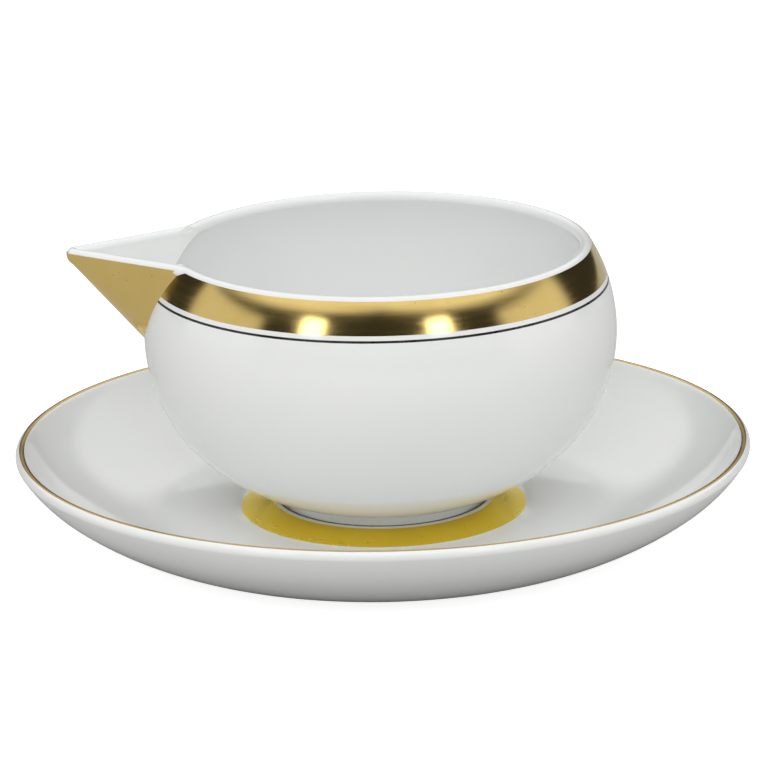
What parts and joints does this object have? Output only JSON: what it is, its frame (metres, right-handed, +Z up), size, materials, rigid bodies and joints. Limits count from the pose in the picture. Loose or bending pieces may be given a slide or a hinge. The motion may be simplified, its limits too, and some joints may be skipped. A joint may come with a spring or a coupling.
{
  "type": "gravy boat",
  "caption": "Round porcelain gravy boat with a pointed beak spout, standing in the raised seat of its own coupe saucer; gold and black bands.",
  "frame": {"origin": "the common axis of boat and saucer, at the table under the saucer's foot ring", "axes": "+Z up along the turned axis of both pieces, -X along the spout, Y across it"},
  "size_m": [0.185, 0.185, 0.0754],
  "materials": {
    "boat_porcelain": "clear glossy glaze over white porcelain",
    "saucer_porcelain": "clear glossy glaze over white porcelain",
    "gold_lustre": "bright fired-on gold, polished",
    "black_enamel": "glossy black overglaze enamel"
  },
  "bodies": {
    "saucer": {"saucer_body": "saucer_porcelain", "saucer_rim_gold_line": "gold_lustre", "saucer_seat_gold_ring": "gold_lustre", "saucer_seat_black_line": "black_enamel"},
    "boat": {"boat_body": "boat_porcelain", "boat_gold_band": "gold_lustre", "boat_spout_gold": "gold_lustre", "boat_black_line": "black_enamel"}
  },
  "joints": [
    {"name": "boat_lift", "type": "slide", "parent": "saucer", "child": "boat", "axis": [0, 0, 1], "range_m": [0, 0.12]}
  ]
}
